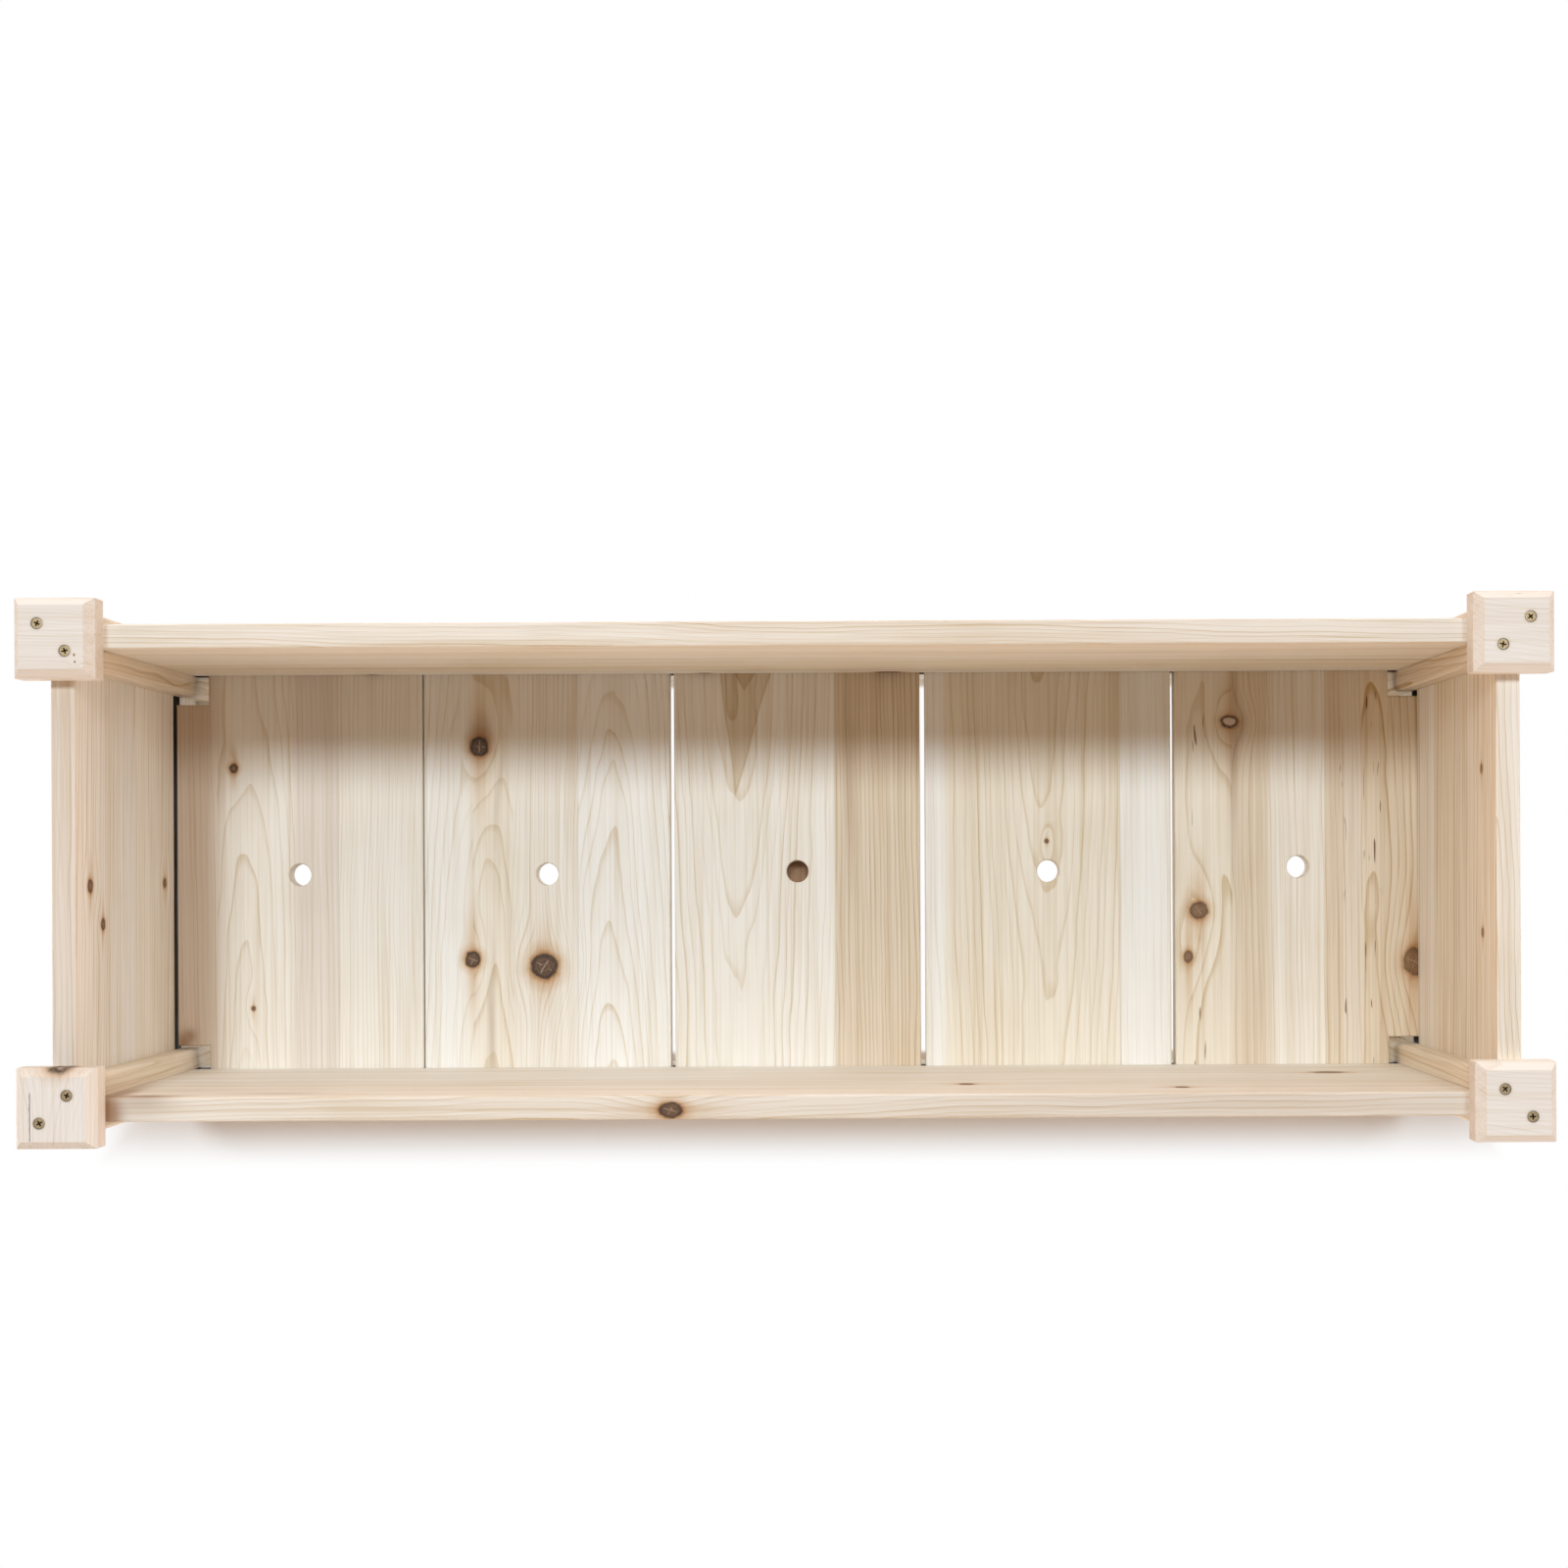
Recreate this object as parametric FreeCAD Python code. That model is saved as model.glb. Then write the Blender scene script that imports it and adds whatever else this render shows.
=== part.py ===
import FreeCAD, Part
import math
import os

# Raised garden bed: a low, open planter of planed fir that stands on four feet.
#
# The walls slide down grooves in four corner posts. A cap is screwed to the top of
# each post and a foot cap to its bottom, and between them they lock the walls in.
# The floor boards lie in a groove that runs round all four walls. The end boards are
# notched round the posts. A crossbeam under the middle board ties the long walls.
#
# Millimetres. +Z is up, +X runs along the bed and +Y points to its back. The origin
# is on the ground, under the middle of the bed.

# ---- Walls ----
inner_length = 1044.0        # between the inner faces of the end walls
inner_width = 330.0          # between the inner faces of the long walls
wall_thickness = 18.0
wall_height = 236.0
wall_edge_radius = 1.6       # along the rims and the lower edges

# ---- Corner posts ----
post_side = 42.0
post_edge_radius = 4.0
post_reach = 16.5            # how far a post stands inside the walls' inner faces
post_groove_depth = 10.0
wall_play = 0.25             # each side of a wall in its post groove
wall_end_play = 1.0          # between a wall's end and the bottom of its post groove

# ---- Caps, above and below each post ----
cap_side = 59.0
cap_thickness = 20.0
cap_bevel_width = 6.0
cap_bevel_height = 7.0
cap_corner_chamfer = 0.8     # on its four upright corners
cap_offset_x = 4.0           # from the post's middle to the cap's, away from the bed
cap_offset_y = 1.5

# ---- Floor ----
floor_rise = 37.0            # from the walls' lower edge up to the floor's underside
board_count = 5
board_thickness = 14.0
board_edge_chamfer = 0.8
board_seat = 5.0             # how far a board's end reaches into the wall's groove
board_end_play = 3.0         # between a board's end and the bottom of the groove
board_height_play = 0.5      # above a board in its groove
board_gaps = (2.6, 1.3, 3.7, 4.2, 3.4)         # left of each board, from left to right
board_slips = (-2.4, -2.8, -1.5, -2.1, 0.6)    # each board's rest position in Y
last_board_seat = 2.5        # the right-hand board's edge lies in the end wall's groove
drain_diameter = 18.5
drain_chamfer = 0.8
notch_clearance_x = 10.5     # from an end board's notch to the post, along the bed
notch_clearance_y = 5.5      # the same, across the bed

# ---- Crossbeam ----
beam_width = 38.0
beam_height = 20.0
beam_edge_radius = 2.0

# ---- Screws ----
shank_diameter = 4.0
head_diameter = 8.0
head_sink = 0.3              # a head's top lies this far below the wood
screw_tip = 4.0              # the length of its point
screw_tip_diameter = 0.6
screw_sides = 20             # screws and their holes are many-sided, to keep faces few
cap_screw_length = 42.0
cap_screw_offset = 10.0      # from a cap's middle, in X and in Y
beam_screw_length = 45.0
beam_screw_spacing = 20.0
shank_clearance = 0.2        # round a shank where it passes through a piece freely
pilot_clearance = 0.05       # round a shank in the wood that holds it
pilot_spare_depth = 1.5      # past a screw's tip

# ---- Levels and faces that follow ----
walls_low = cap_thickness
walls_high = walls_low + wall_height
mid_height = (walls_low + walls_high) / 2
floor_low = walls_low + floor_rise
half_length = inner_length / 2
half_width = inner_width / 2
wall_groove_depth = board_seat + board_end_play
wall_groove_height = board_thickness + board_height_play

post_inner_x = half_length - post_reach
post_inner_y = half_width - post_reach
post_middle_x = post_inner_x + post_side / 2
post_middle_y = post_inner_y + post_side / 2
cap_middle_x = post_middle_x + cap_offset_x
cap_middle_y = post_middle_y + cap_offset_y

board_room = inner_length + last_board_seat - sum(board_gaps)
board_width = board_room / board_count
board_length = inner_width + 2 * board_seat

shank_radius = shank_diameter / 2
head_radius = head_diameter / 2
head_cone = head_radius - shank_radius         # the height of a head, with its cone at 45 degrees

ORIGIN = FreeCAD.Vector(0, 0, 0)
X = FreeCAD.Vector(1, 0, 0)
Y = FreeCAD.Vector(0, 1, 0)
Z = FreeCAD.Vector(0, 0, 1)

CORNERS = {
    "front_left": (-1, -1),
    "front_right": (1, -1),
    "back_left": (-1, 1),
    "back_right": (1, 1),
}


def block(low, high):
    """A box from its lowest corner to its highest."""
    size = [top - bottom for bottom, top in zip(low, high)]
    return Part.makeBox(size[0], size[1], size[2], FreeCAD.Vector(*low))


def edges_along(edges, direction):
    """Those edges that run straight along a direction."""
    found = []
    for edge in edges:
        run = edge.Vertexes[-1].Point - edge.Vertexes[0].Point
        if run.Length > 0 and run.cross(direction).Length < 1e-6 * run.Length:
            found.append(edge)
    return found


def edges_at_height(edges, height):
    """Those edges that lie flat at one height."""
    found = []
    for edge in edges:
        bounds = edge.BoundBox
        if abs(bounds.ZMin - height) < 1e-6 and abs(bounds.ZMax - height) < 1e-6:
            found.append(edge)
    return found


def flat(points):
    """A flat face with these corners."""
    return Part.Face(Part.makePolygon(points + points[:1]))


def turned(outline):
    """A solid about Z, many-sided, from the (radius, height) of its rings in order."""
    rings = []
    for radius, height in outline:
        turns = [2 * math.pi * side / screw_sides for side in range(screw_sides)]
        rings.append([FreeCAD.Vector(radius * math.cos(a), radius * math.sin(a), height) for a in turns])
    faces = [flat(rings[0]), flat(rings[-1])]
    for upper, lower in zip(rings, rings[1:]):
        for side in range(-1, screw_sides - 1):
            faces.append(flat([upper[side], upper[side + 1], lower[side + 1], lower[side]]))
    shape = Part.makeSolid(Part.makeShell(faces))
    shape.fix(1e-6, 1e-6, 1e-6)
    return shape


def aimed(shape, head, direction):
    """Move a shape made at the origin, pointing down, to a head's place and direction."""
    turn = FreeCAD.Rotation(Z * -1, direction)
    moved = shape.copy()
    moved.Placement = FreeCAD.Placement(head, turn)
    return moved


def screw(length):
    """A countersunk wood screw. The top of its head is at the origin and it points down."""
    return turned([
        (head_radius, 0),
        (shank_radius, -head_cone),
        (shank_radius, screw_tip - length),
        (screw_tip_diameter / 2, -length),
    ])


def countersink(depth):
    """The cutter for a screw hole through a piece: the piece's face is at the origin."""
    free_radius = shank_radius + shank_clearance
    return turned([
        (head_radius, 1),
        (head_radius, -head_sink),
        (free_radius, free_radius - head_radius - head_sink),
        (free_radius, -depth - 1),
    ])


def pilot(length):
    """The cutter for the hole that holds a screw, from the top of its head down."""
    radius = shank_radius + pilot_clearance
    return turned([(radius, 0), (radius, -length - pilot_spare_depth)])


def at_corner(shape, side_x, side_y):
    """Mirror a shape made at the back right corner to another corner."""
    if side_x < 0:
        shape = shape.mirror(ORIGIN, X)
    if side_y < 0:
        shape = shape.mirror(ORIGIN, Y)
    return shape


def underneath(shape):
    """Mirror a shape from the top of the bed to its underside."""
    return shape.mirror(Z * mid_height, Z)


def cap_screw_heads():
    """The tops of a cap's two screws, on the diagonal that runs to its outer corner."""
    height = walls_high + cap_thickness - head_sink
    steps = (cap_screw_offset, -cap_screw_offset)
    return [FreeCAD.Vector(cap_middle_x + step, cap_middle_y + step, height) for step in steps]


def post():
    """The back right post: rounded edges, and a groove for each wall that it holds."""
    far_x = post_inner_x + post_side
    far_y = post_inner_y + post_side
    shape = block((post_inner_x, post_inner_y, walls_low), (far_x, far_y, walls_high))
    shape = shape.makeFillet(post_edge_radius, edges_along(shape.Edges, Z))
    long_groove = block(
        (post_inner_x - 1, half_width - wall_play, walls_low - 1),
        (post_inner_x + post_groove_depth, half_width + wall_thickness + wall_play, walls_high + 1),
    )
    end_groove = block(
        (half_length - wall_play, post_inner_y - 1, walls_low - 1),
        (half_length + wall_thickness + wall_play, post_inner_y + post_groove_depth, walls_high + 1),
    )
    shape = shape.cut(long_groove).cut(end_groove)
    for head in cap_screw_heads():
        hole = aimed(pilot(cap_screw_length), head, Z * -1)
        shape = shape.cut(hole).cut(underneath(hole))
    return shape


def cap():
    """The back right top cap: straight sides below, and a bevel all round above."""
    half = cap_side / 2
    shoulder = cap_thickness - cap_bevel_height
    shape = block((-half, -half, 0), (half, half, cap_thickness))
    shape = shape.makeChamfer(cap_corner_chamfer, edges_along(shape.Edges, Z))
    bevel = [
        (half - cap_bevel_width, cap_thickness),
        (half, shoulder),
        (half + cap_bevel_width, shoulder),
        (half + cap_bevel_width, cap_thickness + 1),
        (half - cap_bevel_width, cap_thickness + 1),
    ]
    points = [FreeCAD.Vector(out, -cap_side, up) for out, up in bevel]
    points.append(points[0])
    cutter = Part.Face(Part.makePolygon(points)).extrude(Y * 2 * cap_side)
    for quarter in range(4):
        shape = shape.cut(cutter.rotated(ORIGIN, Z, 90 * quarter))
    shape.translate(FreeCAD.Vector(cap_middle_x, cap_middle_y, walls_high))
    for head in cap_screw_heads():
        shape = shape.cut(aimed(countersink(cap_thickness), head + Z * head_sink, Z * -1))
    return shape


def cap_screws():
    """The two screws of the back right top cap."""
    return [aimed(screw(cap_screw_length), head, Z * -1) for head in cap_screw_heads()]


def beam_screw_heads(side):
    """The tops of the crossbeam's screws, sunk in the outer face of the wall on one side."""
    height = floor_low - beam_height / 2
    outer = side * (half_width + wall_thickness - head_sink)
    steps = (-beam_screw_spacing / 2, beam_screw_spacing / 2)
    return [FreeCAD.Vector(beam_middle_x() + step, outer, height) for step in steps]


def beam_middle_x():
    """The crossbeam lies under the middle of the middle board."""
    low, high = board_span(board_count // 2)
    return (low + high) / 2


def long_wall():
    """The back wall: a panel with rounded edges, grooved inside for the floor."""
    reach = post_inner_x + post_groove_depth - wall_end_play
    shape = block(
        (-reach, half_width, walls_low),
        (reach, half_width + wall_thickness, walls_high),
    )
    shape = shape.makeFillet(wall_edge_radius, edges_along(shape.Edges, X))
    groove = block(
        (-reach - 1, half_width - 1, floor_low),
        (reach + 1, half_width + wall_groove_depth, floor_low + wall_groove_height),
    )
    shape = shape.cut(groove)
    for head in beam_screw_heads(1):
        shape = shape.cut(aimed(countersink(wall_thickness), head + Y * head_sink, Y * -1))
    return shape


def end_wall():
    """The right end wall, between the two right-hand posts."""
    reach = post_inner_y + post_groove_depth - wall_end_play
    shape = block(
        (half_length, -reach, walls_low),
        (half_length + wall_thickness, reach, walls_high),
    )
    shape = shape.makeFillet(wall_edge_radius, edges_along(shape.Edges, Y))
    groove = block(
        (half_length - 1, -reach - 1, floor_low),
        (half_length + wall_groove_depth, reach + 1, floor_low + wall_groove_height),
    )
    return shape.cut(groove)


def board_span(index):
    """The left and right edges of a floor board, counted from the left."""
    low = -half_length + sum(board_gaps[:index + 1]) + index * board_width
    return low, low + board_width


def notch(edge_x, side_x, end_y, side_y):
    """The cutter for the corner of an end board, open past its edge and its end."""
    inner_x = edge_x - side_x * (post_reach + notch_clearance_x)
    inner_y = end_y - side_y * (board_seat + post_reach + notch_clearance_y)
    xs = sorted((inner_x, edge_x + side_x))
    ys = sorted((inner_y, end_y + side_y))
    return block(
        (xs[0], ys[0], floor_low - 1),
        (xs[1], ys[1], floor_low + board_thickness + 1),
    )


def floor_board(index):
    """One floor board: eased edges, a drain hole, and notches if it lies at an end."""
    low, high = board_span(index)
    slip = board_slips[index]
    top = floor_low + board_thickness
    ends = {-1: slip - board_length / 2, 1: slip + board_length / 2}
    shape = block((low, ends[-1], floor_low), (high, ends[1], top))
    edges = {}
    if index == 0:
        edges[-1] = low
    if index == board_count - 1:
        edges[1] = high
    for side_x, edge_x in edges.items():
        for side_y, end_y in ends.items():
            shape = shape.cut(notch(edge_x, side_x, end_y, side_y))
    eased = edges_at_height(shape.Edges, top) + edges_at_height(shape.Edges, floor_low)
    shape = shape.makeChamfer(board_edge_chamfer, eased)
    middle = FreeCAD.Vector((low + high) / 2, slip, floor_low - 1)
    shape = shape.cut(Part.makeCylinder(drain_diameter / 2, board_thickness + 2, middle, Z))
    upper = edges_at_height(shape.Edges, top)
    rims = [edge for edge in upper if isinstance(edge.Curve, Part.Circle)]
    return shape.makeChamfer(drain_chamfer, rims)


def crossbeam():
    """The beam between the long walls, under the middle board."""
    middle = beam_middle_x()
    beam_low = floor_low - beam_height
    shape = block(
        (middle - beam_width / 2, -half_width, beam_low),
        (middle + beam_width / 2, half_width, floor_low),
    )
    lower = edges_along(edges_at_height(shape.Edges, beam_low), Y)
    shape = shape.makeFillet(beam_edge_radius, lower)
    for side in (-1, 1):
        for head in beam_screw_heads(side):
            shape = shape.cut(aimed(pilot(beam_screw_length), head, Y * -side))
    return shape


def beam_screws():
    """The screws through both long walls into the ends of the crossbeam."""
    shapes = []
    for side in (-1, 1):
        for head in beam_screw_heads(side):
            shapes.append(aimed(screw(beam_screw_length), head, Y * -side))
    return shapes


def save(node, shape):
    shape.exportStep(os.path.join("parts", node + ".step"))


os.makedirs("parts", exist_ok=True)

top_screws = []
foot_screws = []
for corner, sides in CORNERS.items():
    save("post_" + corner, at_corner(post(), *sides))
    save("cap_" + corner, at_corner(cap(), *sides))
    save("foot_" + corner, at_corner(underneath(cap()), *sides))
    for shape in cap_screws():
        top_screws.append(at_corner(shape, *sides))
        foot_screws.append(at_corner(underneath(shape), *sides))
save("cap_screws", Part.makeCompound(top_screws))
save("foot_screws", Part.makeCompound(foot_screws))

save("back_wall", long_wall())
save("front_wall", long_wall().mirror(ORIGIN, Y))
save("right_end_wall", end_wall())
save("left_end_wall", end_wall().mirror(ORIGIN, X))

for index in range(board_count):
    save("floor_board_" + str(index + 1), floor_board(index))

save("crossbeam", crossbeam())
save("crossbeam_screws", Part.makeCompound(beam_screws()))
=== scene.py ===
import math
from collections import namedtuple

import bpy
from mathutils import Matrix, Vector


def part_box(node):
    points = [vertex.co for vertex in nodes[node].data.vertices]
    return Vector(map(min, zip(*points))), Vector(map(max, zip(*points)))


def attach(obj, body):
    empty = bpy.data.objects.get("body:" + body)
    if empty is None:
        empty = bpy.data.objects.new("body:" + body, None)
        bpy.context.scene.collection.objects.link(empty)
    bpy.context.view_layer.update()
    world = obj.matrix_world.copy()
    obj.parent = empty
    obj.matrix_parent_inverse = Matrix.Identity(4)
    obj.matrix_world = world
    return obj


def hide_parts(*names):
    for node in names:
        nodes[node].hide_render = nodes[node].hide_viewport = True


# Raised garden bed: its woods, its screws, the light and the camera.
#
# Blender works in metres, and the frame is in metres. The patterns of the wood are
# written in millimetres: each material reads its piece's coordinates times 1000.

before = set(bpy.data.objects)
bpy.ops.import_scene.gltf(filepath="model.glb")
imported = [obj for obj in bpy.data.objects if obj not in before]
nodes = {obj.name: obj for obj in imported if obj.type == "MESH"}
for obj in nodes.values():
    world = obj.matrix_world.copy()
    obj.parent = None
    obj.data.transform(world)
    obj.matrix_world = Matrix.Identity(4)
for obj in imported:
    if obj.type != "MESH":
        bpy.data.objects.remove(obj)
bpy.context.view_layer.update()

X, Y, Z = 0, 1, 2
FLOOR_BOTTOM = 57.0          # the floor boards' lower face, in millimetres
FLOOR_TOP = 71.0
WALL_TOP = 256.0
RIM = 254.6                  # where the look of a wall's upper edge starts
INNER_X = 522.0              # the inner faces of the end walls and of the long walls
INNER_Y = 165.0
HEAD_OFFSET = 10.0           # from a cap's middle to its screws, along X and along Y

# ---- The tints of planed fir, as sRGB ----
PALE = (247, 243, 236)
CREAM = (243, 236, 225)
HONEY = (235, 222, 205)
HONEY_PALE = (242, 232, 215)
TAN = (228, 212, 190)
BROWN_STAIN_AND_SHADE = (153, 118, 88)
UMBER_AND_SHADE = (209, 188, 167)
ASH = (233, 223, 212)
CHALK = (246, 246, 245)
SAND_AND_LIGHT = (241, 226, 203)
IVORY = (245, 239, 229)
CAP_WOOD = (239, 234, 228)

# A strip of a glued panel. It starts at a place across the grain and ends where the
# next one starts. Its growth rings are circles round a pith, which lies at its own
# place across the grain and some way below the reference face. soft is half the width
# over which its tint comes in: more than a millimetre is a change within one board.
Strip = namedtuple("Strip", "start tint pith depth spacing strength soft", defaults=(0.2,))

# A knot: where it lies, its half width across the grain, how many times longer it is
# along it, how dark its core is, how long a stain it leaves along the grain, the axis
# that it runs along, if that isn't the one through the piece's face, and how dark its
# edge is, if not as dark as its core.
Knot = namedtuple("Knot", "x y z radius longer dark stain through edge", defaults=(None, None))

# Brown patches that fade out, with their half widths along and across the grain: stains in the
# wood, and in a few places painted shade.
Stain = namedtuple("Stain", "x y z long wide amount")

# A pointed patch of latewood: its tip along and across the grain, how far it leans and
# spreads for each millimetre from the tip, and how dark it is.
Flame = namedtuple("Flame", "tip across lean spread amount")

# Short dark resin marks, between two places across the grain.
Resin = namedtuple("Resin", "low high amount")

# A drying crack: its place across the grain, and where it starts and ends along it.
Crack = namedtuple("Crack", "across low high")


def linear(colour):
    """An sRGB colour from 0 to 255 as the linear colour that a shader takes."""
    parts = [part / 255 for part in colour]
    return (*(p / 12.92 if p <= 0.04045 else ((p + 0.055) / 1.055) ** 2.4 for p in parts), 1)


# ---- Patterns as arithmetic on a material's nodes ----


class Value:
    """A number that varies over a surface: one output in a material's node tree."""

    def __init__(self, tree, socket):
        self.tree = tree
        self.socket = socket

    def math(self, operation, *others):
        node = self.tree.nodes.new("ShaderNodeMath")
        node.operation = operation
        for slot, value in zip(node.inputs, (self, *others)):
            feed(self.tree, slot, value)
        return Value(self.tree, node.outputs[0])

    def __add__(self, other):
        return self.math("ADD", other)

    def __sub__(self, other):
        return self.math("SUBTRACT", other)

    def __mul__(self, other):
        return self.math("MULTIPLY", other)

    def __truediv__(self, other):
        return self.math("DIVIDE", other)

    def __neg__(self):
        return self.math("MULTIPLY", -1.0)

    def inverse(self):
        return (-self) + 1.0

    def rise(self, low, high):
        """0 below low and 1 above high, with a smooth step between them."""
        node = self.tree.nodes.new("ShaderNodeMapRange")
        node.interpolation_type = "SMOOTHSTEP"
        feed(self.tree, node.inputs["Value"], self)
        node.inputs["From Min"].default_value = low
        node.inputs["From Max"].default_value = high
        return Value(self.tree, node.outputs["Result"])

    def bell(self, width):
        """1 where the value is 0, fading to nothing within about twice the width."""
        ratio = self / width
        return (-(ratio * ratio)).math("EXPONENT")


def feed(tree, slot, value):
    """Sets a node's input to a number or a colour, or links it to a value."""
    if isinstance(value, Value):
        tree.links.new(value.socket, slot)
    else:
        slot.default_value = value


def length(first, second):
    return (first * first + second * second).math("SQRT")


def vector(tree, *parts):
    node = tree.nodes.new("ShaderNodeCombineXYZ")
    for slot, part in zip(node.inputs, parts):
        feed(tree, slot, part)
    return Value(tree, node.outputs[0])


def split(value):
    """The three parts of a vector or a colour."""
    node = value.tree.nodes.new("ShaderNodeSeparateXYZ")
    feed(value.tree, node.inputs[0], value)
    return [Value(value.tree, part) for part in node.outputs]


def noise(tree, place, detail=2.0, rough=0.5):
    """Noise of size 1 at a place: its value, and three more values as a vector."""
    node = tree.nodes.new("ShaderNodeTexNoise")
    feed(tree, node.inputs["Vector"], place)
    node.inputs["Scale"].default_value = 1.0
    node.inputs["Detail"].default_value = detail
    node.inputs["Roughness"].default_value = rough
    return Value(tree, node.outputs["Fac"]), Value(tree, node.outputs["Color"])


def random(value):
    """A random number from 0 to 1 for each value."""
    node = value.tree.nodes.new("ShaderNodeTexWhiteNoise")
    node.noise_dimensions = "1D"
    feed(value.tree, node.inputs["W"], value)
    return Value(value.tree, node.outputs["Value"])


def mixed(tree, amount, first, second, blend="MIX"):
    """Two colours, mixed or multiplied by an amount from 0 to 1."""
    node = tree.nodes.new("ShaderNodeMix")
    node.data_type = "RGBA"
    node.blend_type = blend
    feed(tree, node.inputs[0], amount)
    feed(tree, node.inputs[6], first)
    feed(tree, node.inputs[7], second)
    return Value(tree, node.outputs[2])


def ramp(value, stops, interpolation="LINEAR"):
    """The colour and the alpha of a colour ramp with (place, colour) stops."""
    node = value.tree.nodes.new("ShaderNodeValToRGB")
    node.color_ramp.interpolation = interpolation
    elements = node.color_ramp.elements
    while len(elements) > 1:
        elements.remove(elements[-1])
    for index, (place, colour) in enumerate(stops):
        element = elements[0] if index == 0 else elements.new(place)
        element.position = place
        element.color = colour
    feed(value.tree, node.inputs["Fac"], value)
    return Value(value.tree, node.outputs["Color"]), Value(value.tree, node.outputs["Alpha"])


def new_material(name):
    """An empty material with a Principled shader, and its tree and shader."""
    material = bpy.data.materials.new(name)
    material.use_nodes = True
    tree = material.node_tree
    tree.nodes.clear()
    output = tree.nodes.new("ShaderNodeOutputMaterial")
    shader = tree.nodes.new("ShaderNodeBsdfPrincipled")
    tree.links.new(shader.outputs[0], output.inputs["Surface"])
    return material, tree, shader


def group(name, build, inputs, outputs):
    """A node group that many materials share. Its sockets are numbers, save for colour."""
    tree = bpy.data.node_groups.new(name, "ShaderNodeTree")
    for labels, side in ((inputs, "INPUT"), (outputs, "OUTPUT")):
        for label in labels.split():
            kind = "NodeSocketColor" if label == "colour" else "NodeSocketFloat"
            tree.interface.new_socket(label, in_out=side, socket_type=kind)
    entry = tree.nodes.new("NodeGroupInput")
    leave = tree.nodes.new("NodeGroupOutput")
    given = [Value(tree, entry.outputs[label]) for label in inputs.split()]
    for label, result in zip(outputs.split(), build(tree, *given)):
        feed(tree, leave.inputs[label], result)
    return tree


def use(tree, shared, *values):
    """What a node group makes of these values."""
    node = tree.nodes.new("ShaderNodeGroup")
    node.node_tree = shared
    for slot, value in zip(node.inputs, values):
        feed(tree, slot, value)
    return [Value(tree, socket) for socket in node.outputs]


def coordinates(tree, output="Object"):
    node = tree.nodes.new("ShaderNodeTexCoord")
    return Value(tree, node.outputs[output])


def bump(tree, shader, height, distance):
    """Bump from a height of 0 to 1 that stands for a distance in metres."""
    node = tree.nodes.new("ShaderNodeBump")
    node.inputs["Strength"].default_value = 1.0
    node.inputs["Distance"].default_value = distance
    feed(tree, node.inputs["Height"], height)
    tree.links.new(node.outputs["Normal"], shader.inputs["Normal"])


# ---- Fir ----

LATEWOOD = linear((210, 188, 148))       # multiplies the tint where a ring is darkest
END_GRAIN = linear((230, 226, 221))
KNOT_CORE = linear((68, 50, 38))
KNOT_RING = linear((122, 96, 74))
KNOT_EDGE = linear((40, 27, 20))
KNOT_HALO = linear((216, 180, 130))
KNOT_CRACK = linear((186, 162, 140))
KNOT_PALE = linear((228, 212, 200))
RESIN_BROWN = linear((118, 80, 54))
CRUSHED_AND_SHADE = linear((70, 52, 38))


def sway(tree, u, v, w, seed):
    """Where a fibre at (u, v, w) comes from, across the grain and through the piece."""
    bend = split(noise(tree, vector(tree, u * 0.006 + seed, v * 0.02, w * 0.02), 3.0, 0.45)[1])
    return v + (bend[0] - 0.5) * 9.0, w + (bend[1] - 0.5) * 14.0


def turn_aside(tree, bent, sunk, du, dv, dw, radius, longer):
    """Fibres that part round a knot at (-du, -dv, -dw) and rise beside it."""
    reach = radius + 2.5
    near = (dw / (reach * 3.0)).bell(1.0)
    pull = (length(du / (longer * 2.6), dv / 2.0) / reach).bell(1.0) * near
    lift = (length(du / (longer * 4.4), dv / 1.7) / reach).bell(1.0) * near
    return bent - dv * pull * 0.8, sunk + lift * reach * 1.2


def grow(tree, u, v, w, aside, down, spacing, strength, seed, end, colour):
    """Growth rings, fibres and streaks over a tint: the colour, height and roughness."""
    radius = length(aside, down)
    rings = radius / spacing
    rings = rings + noise(tree, vector(tree, radius * 0.06, seed + 3.0, 0.0), 2.0)[0] * 3.0

    # A ring darkens slowly and ends at a sharp edge. Some rings are hardly seen.
    phase = rings.math("FRACT")
    late = (phase.rise(0.74, 0.96) + phase.rise(0.2, 0.9) * 0.25) * phase.rise(0.98, 1.0).inverse()
    late = late * (random(rings.math("FLOOR")) * 0.75 + 0.25) * strength

    fibre = noise(tree, vector(tree, u * 0.018 + seed, v * 1.5, w * 1.5), 3.0, 0.6)[0]
    line = noise(tree, vector(tree, u * 0.005 + seed, v * 0.42, w * 0.42), 3.0, 0.65)[0]
    streak = noise(tree, vector(tree, u * 0.0025 + seed, v * 0.11, w * 0.11), 3.0, 0.55)[0]
    band = noise(tree, vector(tree, u * 0.002, v * 0.035 + seed, w * 0.035), 2.0, 0.5)[0]
    patch = noise(tree, vector(tree, u * 0.01, v * 0.016 + seed, w * 0.02), 2.0, 0.5)[0]
    texture = (fibre - 0.5) * 0.4 + line.rise(0.42, 0.7) * 0.34 + streak.rise(0.45, 0.72) * 0.24
    texture = texture + patch.rise(0.5, 0.8) * 0.12 + (band - 0.5) * 0.6
    grain = late * 0.8 + texture * (strength * 0.6 + 0.4)
    darker = mixed(tree, 1.0, colour, LATEWOOD, "MULTIPLY")
    colour = mixed(tree, grain.math("MAXIMUM", 0.0).math("MINIMUM", 1.0), colour, darker)

    # Cut across, the fibres drink in the light.
    facing = end.math("ABSOLUTE").rise(0.55, 0.95)
    colour = mixed(tree, facing * 0.85, colour, END_GRAIN, "MULTIPLY")
    return colour, fibre * 0.5 - late * 0.2, fibre * 0.18 + 0.52 - late * 0.06


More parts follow.
